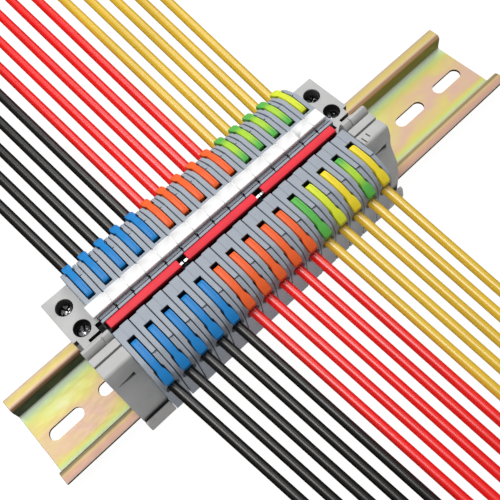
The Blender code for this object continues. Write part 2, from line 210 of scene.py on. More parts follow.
def bump(tree, shader, source, depth, strength):
    """Surface relief of the given depth in millimetres."""
    made = node(tree, "ShaderNodeBump")
    made.inputs["Strength"].default_value = strength
    made.inputs["Distance"].default_value = depth * MM
    tree.links.new(source, made.inputs["Height"])
    tree.links.new(made.outputs["Normal"], shader.inputs["Normal"])


def shade(colour, factor):
    return tuple(min(1.0, channel * factor) for channel in colour)


def new_material(name):
    """A material with nodes, its node tree and its shader."""
    material = bpy.data.materials.new(name)
    material.use_nodes = True
    tree = material.node_tree
    return material, tree, tree.nodes["Principled BSDF"]


def drifting_colour(tree, shader, cloud, colour, low, high):
    """Base colour that drifts between two shades of a colour with a noise texture."""
    tone = ramp(tree, cloud.outputs["Fac"], [(0.3, shade(colour, low)), (0.7, shade(colour, high))])
    tree.links.new(tone.outputs["Color"], shader.inputs["Base Color"])


def drifting_gloss(tree, shader, cloud, low, high):
    """Roughness that drifts between two values with a noise texture."""
    spread = ramp(tree, cloud.outputs["Fac"], [(0.25, (low,) * 3), (0.75, (high,) * 3)])
    tree.links.new(spread.outputs["Color"], shader.inputs["Roughness"])


def plastic(name, colour, roughness=0.4, mottle=0.07):
    """Moulded plastic: slight mottling, uneven gloss and a fine spark-eroded grain."""
    material, tree, shader = new_material(name)
    drifting_colour(tree, shader, noise(tree, 0.16, 4.0), colour, 1 - mottle, 1 + mottle)
    drifting_gloss(tree, shader, noise(tree, 0.5), roughness - 0.05, roughness + 0.07)
    grain = noise(tree, 2.4, 2.0)
    bump(tree, shader, grain.outputs["Fac"], 0.012, 0.35)
    set_value(shader, "Specular IOR Level", 0.2)
    return material


def masked(tree, source, low, high):
    """0 below low, 1 above high, in millimetres; low may be the larger one."""
    made = node(tree, "ShaderNodeMapRange")
    made.inputs["From Min"].default_value = low * MM
    made.inputs["From Max"].default_value = high * MM
    tree.links.new(source, made.inputs["Value"])
    return made.outputs["Result"]


def product(tree, *sources):
    result = sources[0]
    for source in sources[1:]:
        made = node(tree, "ShaderNodeMath", operation="MULTIPLY")
        tree.links.new(result, made.inputs[0])
        tree.links.new(source, made.inputs[1])
        result = made.outputs["Value"]
    return result


def mix(tree, factor, first, second):
    made = node(tree, "ShaderNodeMix", data_type="RGBA")
    tree.links.new(factor, made.inputs["Factor"])
    for socket, source in (("A", first), ("B", second)):
        if isinstance(source, tuple):
            made.inputs[socket].default_value = (*source, 1.0)
        else:
            tree.links.new(source, made.inputs[socket])
    return made.outputs["Result"]


def object_axes(tree):
    """The object's own X, Y and Z, in metres."""
    place = node(tree, "ShaderNodeTexCoord")
    split = node(tree, "ShaderNodeSeparateXYZ")
    tree.links.new(place.outputs["Object"], split.inputs["Vector"])
    return split.outputs["X"], split.outputs["Y"], split.outputs["Z"]


def distance(tree, source, middle=0.0):
    """How far a coordinate is from a middle value given in millimetres."""
    away = node(tree, "ShaderNodeMath", operation="SUBTRACT")
    tree.links.new(source, away.inputs[0])
    away.inputs[1].default_value = middle * MM
    made = node(tree, "ShaderNodeMath", operation="ABSOLUTE")
    tree.links.new(away.outputs["Value"], made.inputs[0])
    return made.outputs["Value"]


def scaled(tree, source, factor, added=None):
    """The source times a number, plus another source if there is one."""
    made = node(tree, "ShaderNodeMath", operation="MULTIPLY_ADD")
    tree.links.new(source, made.inputs[0])
    made.inputs[1].default_value = factor
    made.inputs[2].default_value = 0.0
    if added:
        tree.links.new(added, made.inputs[2])
    return made.outputs["Value"]


def base_colour(material):
    """The shader of a material and the socket that its base colour comes from."""
    shader = material.node_tree.nodes["Principled BSDF"]
    return shader, shader.inputs["Base Color"].links[0].from_socket


# Painted shade inside a terminal's wells: where it begins and is full, in mm, and how dark the plastic is
# painted.
SHADE_LOWEST_Z = (21.5, 22.5)
WELL_DEPTH = (0.3, 0.9)
WELL_END = (16.5, 16.2)
WELL_PAINTED_SHADE = 0.05
FAR_WELL_DEPTH = (1.1, 2.0)
FAR_WELL_END = (23.0, 22.6)
FAR_WELL_PAINTED_SHADE = 0.10


def housing_plastic(name, colour):
    """Terminal plastic with painted shade down inside its wells and its bridge groove."""
    material = plastic(name, colour, 0.42)
    tree = material.node_tree
    shader, clean = base_colour(material)
    x, y, z = object_axes(tree)
    out = distance(tree, y)
    widest, highest = 30.0, 40.0
    stops = [(reach / widest, (top / highest,) * 3) for reach, top in housing_end()[:9]]
    surface = ramp(tree, scaled(tree, out, 1.0 / (widest * MM)), stops)
    level = scaled(tree, surface.outputs["Color"], highest * MM, scaled(tree, z, -1.0))
    between = masked(tree, distance(tree, x), MODULE_HALF - 0.02, MODULE_HALF - 0.06)
    inner = product(tree, between, masked(tree, z, *SHADE_LOWEST_Z))
    # Painted shade: the plastic is darkened deep down in the wells, where shade falls.
    well = product(tree, masked(tree, level, *WELL_DEPTH), masked(tree, out, *WELL_END), inner)
    far_well = product(tree, masked(tree, level, *FAR_WELL_DEPTH), masked(tree, out, *FAR_WELL_END), inner)
    first = mix(tree, well, clean, shade(colour, WELL_PAINTED_SHADE))
    second = mix(tree, far_well, first, shade(colour, FAR_WELL_PAINTED_SHADE))
    tree.links.new(second, shader.inputs["Base Color"])
    return material


def bridge_plastic(name, colour):
    """Bridge plastic with painted shade: darker down its sides and near black low down in its groove."""
    material = plastic(name, colour, 0.4)
    tree = material.node_tree
    shader, clean = base_colour(material)
    z = object_axes(tree)[2]
    # Painted shade: the bridge's sides are darkened, and it is near black below the terminals' top, where
    # the groove shades it.
    side = mix(tree, masked(tree, z, BRIDGE_TOP - 0.08, BRIDGE_TOP - 0.3), clean, shade(colour, 0.5))
    low = mix(tree, masked(tree, z, MODULE_TOP + 0.2, MODULE_TOP - 0.5), side, shade(colour, 0.08))
    tree.links.new(low, shader.inputs["Base Color"])
    return material


# How dark the clamp is painted as shade in its screw bores, and in its slots and foot channel.
BORE_PAINTED_SHADE = 0.22
HOLLOW_PAINTED_SHADE = 0.06


def clamp_plastic(name, colour):
    """Clamp plastic with painted shade inside the screw bores, the slots and the channel behind the foot.
    """
    material = plastic(name, colour, 0.45)
    tree = material.node_tree
    shader, current = base_colour(material)
    x, y, z = object_axes(tree)
    out = distance(tree, y)
    place = node(tree, "ShaderNodeTexCoord")
    flat = node(tree, "ShaderNodeVectorMath", operation="MULTIPLY")
    tree.links.new(place.outputs["Object"], flat.inputs[0])
    flat.inputs[1].default_value = (1.0, 1.0, 0.0)
    below = masked(tree, z, CLAMP_FLAT - 0.1, CLAMP_FLAT - 0.5)
    for _, middle in clamp_middles():
        for screw_y in SCREW_Y:
            reach = node(tree, "ShaderNodeVectorMath", operation="DISTANCE")
            tree.links.new(flat.outputs["Vector"], reach.inputs[0])
            reach.inputs[1].default_value = (middle * MM, screw_y * MM, 0.0)
            # Painted shade down each screw bore.
            bore = product(tree, below, masked(tree, reach.outputs["Value"], 3.1, 3.0))
            current = mix(tree, bore, current, shade(colour, BORE_PAINTED_SHADE))
    row_middle = (ROW_START + ROW_END) / 2
    outer_face = ROW_END - row_middle + CLAMP_GAP + CLAMP_WIDTH
    inner = masked(tree, distance(tree, x, row_middle), outer_face - 0.10, outer_face - 0.20)
    # Painted shade in the channel behind the foot.
    channel = product(
        tree,
        inner,
        masked(tree, out, 19.6, 19.75),
        masked(tree, out, 20.75, 20.6),
        masked(tree, z, 9.4, 8.6),
        masked(tree, z, 6.4, 6.5),
    )
    current = mix(tree, channel, current, shade(colour, HOLLOW_PAINTED_SHADE))
    # Painted shade in the slots just below the deck.
    slot = product(
        tree, inner, masked(tree, out, 14.6, 14.3), masked(tree, z, 31.5, 31.4), masked(tree, z, 28.8, 28.9)
    )
    current = mix(tree, slot, current, shade(colour, HOLLOW_PAINTED_SHADE))
    tree.links.new(current, shader.inputs["Base Color"])
    return material


def metal(name, colour, roughness=0.3, relief=0.006):
    material, tree, shader = new_material(name)
    set_value(shader, "Metallic", 1.0)
    drifting_colour(tree, shader, noise(tree, 0.35, 4.0), colour, 0.88, 1.1)
    streak = noise(tree, 1.0)
    drifting_gloss(tree, shader, streak, roughness - 0.08, roughness + 0.1)
    bump(tree, shader, streak.outputs["Fac"], relief, 0.4)
    return material


def screw_metal(name):
    """Blackened screw steel with bright spots painted in as glints."""
    material = metal(name, (0.03, 0.03, 0.035), 0.22, relief=0.05)
    tree = material.node_tree
    # Painted glints: bright spots placed at random in the base colour.
    painted_glints = noise(tree, 0.8, 2.0)
    tone = ramp(tree, painted_glints.outputs["Fac"], [(0.54, (0.02, 0.02, 0.022)), (0.60, (0.85, 0.85, 0.85))])
    tree.links.new(tone.outputs["Color"], tree.nodes["Principled BSDF"].inputs["Base Color"])
    return material


def insulation(name, colour, lustre):
    """Smooth extruded insulation: slight drift in tone and gloss along the wire."""
    material, tree, shader = new_material(name)
    drifting_colour(tree, shader, noise(tree, 0.10, stretch=(1.0, 0.4, 1.0)), colour, 0.93, 1.07)
    drifting_gloss(tree, shader, noise(tree, 0.08, 2.0, stretch=(1.0, 0.2, 1.0)), 0.27, 0.33)
    set_value(shader, "IOR", lustre)
    return material


LEVER_SPAN = (9.5, 25.0)


def two_tone(name, ends, middle):
    """Lever plastic that runs from one colour at both ends to another in the middle."""
    material = plastic(name, ends, 0.38)
    tree = material.node_tree
    share = masked(tree, distance(tree, object_axes(tree)[1]), *LEVER_SPAN)
    tone = ramp(tree, share, [(0.12, ends), (0.38, middle), (0.62, middle), (0.82, ends)])
    tree.links.new(tone.outputs["Color"], tree.nodes["Principled BSDF"].inputs["Base Color"])
    return material


# Colour across the rail, from its front edge to its back edge: (Y in mm, colour). These are the
# passivation's own colour bands together with painted highlights along the bends and dark painted shadow
# lines at the flanges' inner edges.
PASSIVATION_AND_LIGHT_BANDS = (
    (-17.5, (0.46, 0.36, 0.25)),
    (-16.6, (0.66, 0.38, 0.30)),
    (-15.4, (0.70, 0.42, 0.27)),
    (-14.6, (0.72, 0.52, 0.24)),
    (-14.1, (0.36, 0.27, 0.12)),
    (-13.7, (0.30, 0.26, 0.14)),
    (-13.3, (0.36, 0.42, 0.32)),
    (-10.8, (0.52, 0.68, 0.52)),
    (-9.6, (0.66, 0.76, 0.26)),
    (-8.4, (0.76, 0.70, 0.15)),
    (-6.6, (0.76, 0.56, 0.28)),
    (-4.5, (0.74, 0.48, 0.38)),
    (0.0, (0.74, 0.49, 0.38)),
    (4.0, (0.76, 0.54, 0.30)),
    (6.8, (0.76, 0.66, 0.20)),
    (8.8, (0.76, 0.80, 0.22)),
    (10.2, (0.80, 0.98, 0.46)),
    (11.4, (0.98, 1.20, 0.86)),
    (12.2, (1.10, 1.22, 1.05)),
    (12.9, (0.34, 0.20, 0.13)),
    (13.6, (0.62, 0.36, 0.26)),
    (14.3, (0.82, 0.62, 0.36)),
    (15.4, (0.78, 0.64, 0.15)),
    (16.6, (0.72, 0.54, 0.24)),
    (17.5, (0.58, 0.44, 0.34)),
)
PLATING_DEPTH = 0.77
PLATING_SWAY = 22.0
SWAY_FADE = (9.0, 6.0)
PATCH_SHARE = 0.35
PATCH_FADE = (9.5, 6.0)
PATCHES = (
    (0.36, (0.68, 0.70, 0.16)),
    (0.46, (0.70, 0.56, 0.20)),
    (0.54, (0.70, 0.44, 0.34)),
    (0.64, (0.70, 0.60, 0.16)),
)
# Painted shade on the inner walls, and a brown-red band on the bend above them; both are painted darker at
# the rail's left end and lighter, olive on the walls, at its right end.
WALL_SHADE_LEFT = ((0.38, (0.10, 0.13, 0.06)), (0.5, (0.035, 0.05, 0.035)), (0.62, (0.12, 0.13, 0.04)))
WALL_SHADE_RIGHT = (0.30, 0.28, 0.055)
WALL_SHADE_CHANGE = (-70.0, 45.0)
LIP_LEFT = (0.26, 0.14, 0.07)
LIP_RIGHT = (0.62, 0.36, 0.18)


def plating_bands(tree, y, out):
    """The colour bands across the rail, passivation colour with painted highlights and shadow lines,
    swaying from side to side on the flat web.
    """
    drift = noise(tree, 0.035, stretch=(0.8, 1.4, 1.0))
    drift.inputs["Distortion"].default_value = 0.5
    swing = node(tree, "ShaderNodeMath", operation="SUBTRACT")
    tree.links.new(drift.outputs["Fac"], swing.inputs[0])
    swing.inputs[1].default_value = 0.5
    sway = product(tree, swing.outputs["Value"], masked(tree, out, *SWAY_FADE))
    swayed = scaled(tree, sway, PLATING_SWAY * MM, y)
    front, back = PASSIVATION_AND_LIGHT_BANDS[0][0], PASSIVATION_AND_LIGHT_BANDS[-1][0]
    stops = [((place - front) / (back - front), shade(colour, PLATING_DEPTH)) for place, colour in PASSIVATION_AND_LIGHT_BANDS]
    return ramp(tree, masked(tree, swayed, front, back), stops).outputs["Color"]


def plated_zinc():
    """Yellow passivated zinc: bands of tone that follow the bends, some of them painted highlights and
    shade, patches on the web, and painted shade on the inner walls and on the sheet's edges and ends.
    """
    material, tree, shader = new_material("yellow_passivated_zinc")
    set_value(shader, "Metallic", 0.15)
    set_value(shader, "Specular IOR Level", 0.25)
    x, y, z = object_axes(tree)
    out = distance(tree, y)
    wall_out = RAIL_CHANNEL / 2 + RAIL_SHEET
    tip, end = RAIL_WIDTH / 2, RAIL_LENGTH / 2
    patches = noise(tree, 0.06, stretch=(0.7, 1.2, 1.0))
    patch_tone = ramp(tree, patches.outputs["Fac"], PATCHES)
    share = scaled(tree, masked(tree, out, *PATCH_FADE), PATCH_SHARE)
    coloured = mix(tree, share, plating_bands(tree, y, out), patch_tone.outputs["Color"])
    inside = masked(tree, out, wall_out - 0.1, wall_out - 0.3)
    # Painted shade on the inner walls and on the bend above them, lighter towards the rail's right end.
    lighter_rightward = masked(tree, x, *WALL_SHADE_CHANGE)
    wall = product(tree, masked(tree, z, RAIL_SHEET + 0.35, RAIL_SHEET + 0.7), inside)
    left_wall_shade = ramp(tree, patches.outputs["Fac"], WALL_SHADE_LEFT)
    walled = mix(tree, wall, coloured, mix(tree, lighter_rightward, left_wall_shade.outputs["Color"], WALL_SHADE_RIGHT))
    above_bend = masked(tree, z, RAIL_HEIGHT - 1.3, RAIL_HEIGHT - 0.6)
    lip = product(tree, above_bend, masked(tree, z, RAIL_HEIGHT, RAIL_HEIGHT - 0.2), inside)
    lipped = mix(tree, lip, walled, mix(tree, lighter_rightward, LIP_LEFT, LIP_RIGHT))
    # Painted shade: the sheet's lowest faces, as in the slots, the flanges' outer edges and the rail's ends
    # are painted near black.
    below_top = masked(tree, z, RAIL_SHEET - 0.04, RAIL_SHEET - 0.1)
    sheet_inside = product(tree, below_top, masked(tree, z, 0.02, 0.08))
    cut_edge_shade = mix(tree, sheet_inside, lipped, (0.02, 0.014, 0.008))
    tip_edge_shade = mix(tree, masked(tree, out, tip - 0.14, tip - 0.04), cut_edge_shade, (0.05, 0.035, 0.02))
    ends = mix(tree, masked(tree, distance(tree, x), end - 0.12, end - 0.05), tip_edge_shade, (0.08, 0.05, 0.03))
    tree.links.new(ends, shader.inputs["Base Color"])
    haze = noise(tree, 0.9, 4.0, stretch=(0.3, 1.0, 1.0))
    drifting_gloss(tree, shader, haze, 0.40, 0.52)
    bump(tree, shader, haze.outputs["Fac"], 0.01, 0.3)
    return material


# ---------------------------------------------------------------- geometry helpers

def new_object(name, points, faces, material, sharp=35.0):
    """A closed mesh from points in millimetres, faces outward, round parts shaded smooth."""
    mesh = bpy.data.meshes.new(name)
    mesh.from_pydata([Vector(point) * MM for point in points], [], faces)
    tidy_mesh(mesh, sharp)
    if material:
        mesh.materials.append(material)
    made = bpy.data.objects.new(name, mesh)
    bpy.context.collection.objects.link(made)
    return made


def tidy_mesh(mesh, sharp=35.0):
    work = bmesh.new()
    work.from_mesh(mesh)
    bmesh.ops.recalc_face_normals(work, faces=work.faces)
    work.to_mesh(mesh)
    work.free()
    mesh.shade_smooth()
    mesh.set_sharp_from_angle(angle=math.radians(sharp))


def inset(outline, depth):
    """The outline moved inward by depth with mitred corners; it runs either way round."""
    count = len(outline)
    area = 0.0
    for i in range(count):
        (ax, ay), (bx, by) = outline[i], outline[(i + 1) % count]
        area += ax * by - bx * ay
    side = 1.0 if area > 0 else -1.0
    moved = []
    for i in range(count):
        before = Vector(outline[i]) - Vector(outline[i - 1])
        after = Vector(outline[(i + 1) % count]) - Vector(outline[i])
        normals = []
        for edge in (before.normalized(), after.normalized()):
            normals.append(Vector((-edge.y, edge.x)) * side)
        middle = normals[0] + normals[1]
        share = max(0.35, middle.dot(normals[0]))
        step = middle * (depth / share)
        if step.length > 2.5 * depth:
            step = step.normalized() * 2.5 * depth
        moved.append((outline[i][0] + step.x, outline[i][1] + step.y))
    return moved


def rings(name, sections, material, sharp=35.0):
    """A closed body through sections with equal point counts; the end ones are capped."""
    count = len(sections[0])
    points = [point for section in sections for point in section]
    faces = [tuple(range(count))]
    for k in range(len(sections) - 1):
        base = k * count
        for i in range(count):
            j = (i + 1) % count
            faces.append((base + i, base + j, base + count + j, base + count + i))
    last = (len(sections) - 1) * count
    faces.append(tuple(range(last + count - 1, last - 1, -1)))
    return new_object(name, points, faces, material, sharp)


def prism(name, outline, low, high, material, chamfer=0.0, sharp=35.0, along="x"):
    """A prism of (y, z) pairs along X, or (x, z) along Y, or (x, y) along Z."""
    def place(pair, depth):
        first, second = pair
        if along == "x":
            return (depth, first, second)
        if along == "y":
            return (first, depth, second)
        return (first, second, depth)

    levels = [(low, outline), (high, outline)]
    if chamfer:
        small = inset(outline, chamfer)
        levels = [(low, small), (low + chamfer, outline), (high - chamfer, outline), (high, small)]
    sections = [[place(pair, depth) for pair in shape] for depth, shape in levels]
    return rings(name, sections, material, sharp)


def turned(name, profile, sides, material=None):
    """A solid of revolution about Z from (radius, z) pairs, both ends capped flat."""
    sections = []
    for radius, z in profile:
        ring = []
        for i in range(sides):
            angle = 2 * math.pi * i / sides
            ring.append((radius * math.cos(angle), radius * math.sin(angle), z))
        sections.append(ring)
    return rings(name, sections, material)


def cut_now(target, cutters, operation="DIFFERENCE"):
    """Cuts or joins at once, and removes the cutters."""
    for cutter in cutters:
        step = target.modifiers.new(cutter.name, "BOOLEAN")
        step.operation = operation
        step.solver = "EXACT"
        step.object = cutter
    bpy.context.view_layer.update()
    graph = bpy.context.evaluated_depsgraph_get()
    mesh = bpy.data.meshes.new_from_object(target.evaluated_get(graph), depsgraph=graph)
    target.modifiers.clear()
    target.data = mesh
    for cutter in cutters:
        bpy.data.objects.remove(cutter, do_unlink=True)
    return target


def copy_of(source, name, place=(0.0, 0.0, 0.0), material=None, side=1):
    """A copy at a place in millimetres; side -1 mirrors it front to back."""
    mesh = source.data
    if material or side < 0:
        mesh = mesh.copy()
    if side < 0:
        mesh.transform(Matrix.Scale(-1.0, 4, (0.0, 1.0, 0.0)))
        mesh.flip_normals()
    if material:
        mesh.materials.clear()
        mesh.materials.append(material)
    made = bpy.data.objects.new(name, mesh)
    made.location = Vector(place) * MM
    bpy.context.collection.objects.link(made)
    return made


def discard(item):
    bpy.data.objects.remove(item, do_unlink=True)


def mirrored(outline):
    return [(-y, z) for y, z in outline]


def fit_piece(piece, body, slot, *nodes):
    """The piece rides on its body and stands for its CAD nodes; the slot is not used."""
    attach(piece, body)
    if nodes:
        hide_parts(*nodes)


# ---------------------------------------------------------------- wires

FRONT_WIRE = 3.1
BACK_WIRE = 3.5
WIRE_MOUTH_OUT = 24.3
WIRE_MOUTH_Z = 27.7
WIRE_START = 21.4
WIRE_FALL = 0.05
FRONT_REACH = 117.0
BACK_REACH = 151.0
FRONT_FAN = (0.090, -0.036)
BACK_FAN = (-0.044, 0.110)
BARE_LENGTH = 8.0
TIP_LENGTH = 6.0
OUTER_STRANDS = 6
STRAND_STEPS = 8
STRAND_TWIST = 1.1
STRAND_RING = 0.62
STRAND_RADIUS = 0.33
STRAND_TUCK = 0.4


def wire_point(index, side, out, fan):
    """The centre of one straight wire at a distance outward from the row's middle plane."""
    drift = fan[0] + (fan[1] - fan[0]) * index / (MODULES - 1)
    x = module_middle(index) + drift * (out - WIRE_MOUTH_OUT)
    return Vector((x, side * out, WIRE_MOUTH_Z - WIRE_FALL * (out - WIRE_MOUTH_OUT))) * MM


def wire_route(index, side, reach, fan):
    steps = 24
    places = [WIRE_START + (reach - WIRE_START) * k / steps for k in range(steps + 1)]
    return [wire_point(index, side, out, fan) for out in places]


def round_rods(name, paths, radius, material, resolution):
    """Round rods of one radius, each along its own points."""
    data = bpy.data.curves.new(name, "CURVE")
    data.dimensions = "3D"
    data.bevel_depth = radius
    data.bevel_resolution = resolution
    data.use_fill_caps = True
    for points in paths:
        spline = data.splines.new("POLY")
        spline.points.add(len(points) - 1)
        for target, point in zip(spline.points, points):
            target.co = (*point, 1.0)
    data.materials.append(material)
    made = bpy.data.objects.new(name, data)
    bpy.context.collection.objects.link(made)
    return made


def strand_bundle(name, start, direction, length, material):
    """A stripped end: six bare strands laid round a middle one."""
    along = direction.normalized()
    side = along.cross(Vector((0.0, 0.0, 1.0))).normalized()
    up = side.cross(along)
    strands = []
    for k in range(OUTER_STRANDS + 1):
        points = []
        for step in range(STRAND_STEPS + 1):
            share = step / STRAND_STEPS
            angle = 2 * math.pi * k / OUTER_STRANDS + STRAND_TWIST * share
            offset = Vector((0.0, 0.0, 0.0))
            if k < OUTER_STRANDS:
                offset = (side * math.cos(angle) + up * math.sin(angle)) * STRAND_RING * MM
            reach = length * share - STRAND_TUCK * (1 - share)
            points.append(start + along * reach * MM + offset)
        strands.append(points)
    return round_rods(name, strands, STRAND_RADIUS * MM, material, 2)


def build_wires(materials):
    """Thirty free wires, each out of its entry and straight away from the row."""
    colours = ["wire_black"] * GROUP + ["wire_red"] * GROUP + ["wire_gold"] * GROUP
    rows = (
        ("front", -1, FRONT_WIRE, FRONT_REACH, FRONT_FAN),
        ("back", 1, BACK_WIRE, BACK_REACH, BACK_FAN),
    )
    for row, side, diameter, reach, fan in rows:
        for index, colour in enumerate(colours):
            points = wire_route(index, side, reach - BARE_LENGTH, fan)
            name = f"wire_{row}_{index + 1:02d}"
            wire = round_rods(name, [points], diameter / 2 * MM, materials[colour], 5)
            end_direction = points[-1] - points[-2]
            copper = materials["bare_copper"]
            bare = strand_bundle(f"{name}_bare_end", points[-1], end_direction, BARE_LENGTH, copper)
            tip = strand_bundle(f"{name}_bare_tip", points[0], points[0] - points[1], TIP_LENGTH, copper)
            fit_piece(wire, "root", colour, f"wires_{row}")
            fit_piece(bare, "root", "bare_copper")
            fit_piece(tip, "root", "bare_copper")


# ---------------------------------------------------------------- rail

RAIL_LENGTH = 200.0
RAIL_WIDTH = 35.0
RAIL_HEIGHT = 7.5
RAIL_SHEET = 1.0
RAIL_CHANNEL = 25.0
RAIL_BEND = 0.8
SLOT_PITCH = 20.0
SLOT_LENGTH = 13.2
SLOT_WIDTH = 4.5


def arc(centre, radius, start, end, steps):
    points = []
    for i in range(steps + 1):
        angle = math.radians(start + (end - start) * i / steps)
        points.append((centre[0] + radius * math.cos(angle), centre[1] + radius * math.sin(angle)))
    return points


def rail_outline():
    inner, outer = RAIL_BEND, RAIL_BEND + RAIL_SHEET
    wall_in = RAIL_CHANNEL / 2
    wall_out = wall_in + RAIL_SHEET
    flange_low = RAIL_HEIGHT - RAIL_SHEET
    tip = RAIL_WIDTH / 2
    burr = 0.15
    half = arc((wall_in - inner, RAIL_SHEET + inner), inner, -90, 0, 7)
    half += arc((wall_out + inner, flange_low - inner), outer, 180, 90, 7)
    half += [(tip - burr, RAIL_HEIGHT), (tip, RAIL_HEIGHT - burr)]
    half += [(tip, flange_low + burr), (tip - burr, flange_low)]
    half += arc((wall_out + inner, flange_low - inner), inner, 90, 180, 7)
    half += arc((wall_in - inner, RAIL_SHEET + inner), outer, 0, -90, 7)
    return half + mirrored(half[::-1])


def build_rail(material):
    rail = prism("rail", rail_outline(), -RAIL_LENGTH / 2, RAIL_LENGTH / 2, material, 0.08, 30.0)
    radius = SLOT_WIDTH / 2
    reach = SLOT_LENGTH / 2 - radius
    cutters = []
    for index in range(int(RAIL_LENGTH / SLOT_PITCH)):
        middle = -RAIL_LENGTH / 2 + SLOT_PITCH * (index + 0.5)
        outline = arc((middle + reach, 0.0), radius, -90, 90, 14)
        outline += arc((middle - reach, 0.0), radius, 90, 270, 14)
        cutters.append(prism(f"slot_{index}", outline, -1.0, 2.5, None, along="z"))
    cut_now(rail, cutters)
    rail.data.set_sharp_from_angle(angle=math.radians(30.0))
    fit_piece(rail, "root", "plated_steel", "din_rail")


# ---------------------------------------------------------------- terminal housings

MODULE_HALF = 2.95
RAISED_HALF = 3.08
HOLLOW_DEPTH = 0.35
ENTRY_TILT = 93.0
MODULE_TOP = 36.5
BRIDGE_Y = -1.8
MARKER_Y = 4.7


def box(name, low, high):
    """A plain block for cutting, between two corners."""
    outline = [(low[1], low[2]), (high[1], low[2]), (high[1], high[2]), (low[1], high[2])]
    return prism(name, outline, low[0], high[0], None)


def housing_end():
    """One end of a terminal from its top surface down to the rail foot."""
    return [
        (16.6, MODULE_TOP),
        (17.7, 36.2),
        (18.8, 35.75),
        (19.9, 35.2),
        (21.0, 34.6),
        (21.9, 34.0),
        (22.7, 33.3),
        (23.4, 32.4),
        (23.9, 31.4),
        (24.25, 30.2),
        (24.5, 28.8),
        (24.6, 27.2),
        (24.6, 10.6),
        (24.0, 10.0),
        (20.6, 8.4),
        (20.4, 4.8),
        (20.2, 4.6),
        (16.6, 4.6),
        (16.4, 4.8),
        (16.4, 6.1),
        (17.9, 6.1),
        (17.9, 7.8),
        (12.2, 7.8),
        (11.0, 9.5),
    ]


def housing_outline():
    groove_low, groove_high = BRIDGE_Y - 2.05, BRIDGE_Y + 2.05
    top = [
        (groove_low, MODULE_TOP - 0.15),
        (groove_low, 31.5),
        (BRIDGE_Y - 0.8, 31.5),
        (BRIDGE_Y - 0.8, 27.0),
        (BRIDGE_Y + 0.8, 27.0),
        (BRIDGE_Y + 0.8, 31.5),
        (groove_high, 31.5),
        (groove_high, 36.4),
        (groove_high + 0.1, MODULE_TOP),
        (1.15, MODULE_TOP),
        (1.2, 35.4),
        (1.4, 35.4),
        (1.45, MODULE_TOP),
        (MARKER_Y - 0.8, MODULE_TOP),
        (MARKER_Y - 0.8, 34.0),
        (MARKER_Y + 0.8, 34.0),
        (MARKER_Y + 0.8, MODULE_TOP),
    ]
    end = housing_end()
    return top + end + mirrored(end[::-1]) + [(groove_low - 0.15, MODULE_TOP)]


def loft(name, stations):
    """A cutting bar of rectangular sections: (outward distance, left x, right x, bottom, top)."""
    sections = []
    for out, left, right, bottom, top in stations:
        sections.append([(left, out, bottom), (right, out, bottom), (right, out, top), (left, out, top)])
    return rings(name, sections, None)


def flip_y(item):
    item.data.transform(Matrix.Scale(-1.0, 4, (0.0, 1.0, 0.0)))
    tidy_mesh(item.data)
    return item


# The well under a lever: (distance outward, width, floor).
WELL = (
    (8.7, 2.75, 29.3),
    (9.6, 2.75, 29.2),
    (11.4, 2.8, 29.2),
    (13.8, 2.85, 29.2),
    (15.2, 2.9, 31.3),
    (16.4, 2.9, 33.2),
    (20.2, 2.9, 32.2),
    (20.6, 3.5, 32.1),
    (22.2, 3.5, 31.4),
    (25.6, 3.5, 29.9),
)


def lever_well(side):
    cutter = loft("lever_well", [(out, -width / 2, width / 2, floor, 39.0) for out, width, floor in WELL])
    return flip_y(cutter) if side < 0 else cutter


def wire_entry(side):
    profile = [(2.2, -7.4), (2.2, -0.9), (2.28, -0.2), (2.4, 0.3), (2.4, 1.8)]
    cutter = turned("wire_entry", profile, 28)
    turn = Matrix.Rotation(-side * math.radians(ENTRY_TILT), 4, "X")
    place = Matrix.Translation(Vector((0.0, side * WIRE_MOUTH_OUT, WIRE_MOUTH_Z)) * MM)
    cutter.data.transform(place @ turn)
    return cutter


def top_details(side):
    """Fine lines and steps in the top: seam, cross groove, stepped shoulder and groove edge."""
    half = MODULE_HALF + 0.5

    def cutter(low_x, high_x, low_out, high_out, low_z, high_z=38.0):
        ends = sorted((side * low_out, side * high_out))
        return box("top_cut", (low_x, ends[0], low_z), (high_x, ends[1], high_z))

    cuts = [cutter(1.4, half, 16.55, 16.95, 35.7)]
    inner = 3.8 if side < 0 else 7.3
    cuts.append(cutter(-0.22, -0.08, inner - 0.5, 9.2, MODULE_TOP - 0.2))
    shoulder = [
        (16.9, 2.0, half, 35.9, 38.0),
        (19.5, 2.0, half, 35.0, 37.0),
        (22.0, 2.1, half, 33.65, 35.8),
        (23.4, 2.3, half, 32.3, 34.0),
    ]
    step = loft("shoulder_step", shoulder)
    cuts.append(flip_y(step) if side < 0 else step)
    if side < 0:
        cuts.append(cutter(-half, -0.15, 3.6, 4.25, 33.5))
    return cuts


def metal_pocket():
    half = [(18.8, 22.6), (18.8, 30.4), (16.2, 30.4), (15.0, 28.4), (9.2, 28.4)]
    return prism("metal_pocket", half + mirrored(half[::-1]), -2.0, 4.0, None)


def side_hollows():
    """Shallow moulded hollows in both broad sides, as thin-walled housings have."""
    shape = [(-9.0, 11.5), (9.0, 11.5), (10.5, 13.0), (10.5, 20.0), (-10.5, 20.0), (-10.5, 13.0)]
    return [
        prism("hollow_low", shape, -3.5, -MODULE_HALF + HOLLOW_DEPTH, None),
        prism("hollow_high", shape, MODULE_HALF - HOLLOW_DEPTH, 3.5, None),
    ]


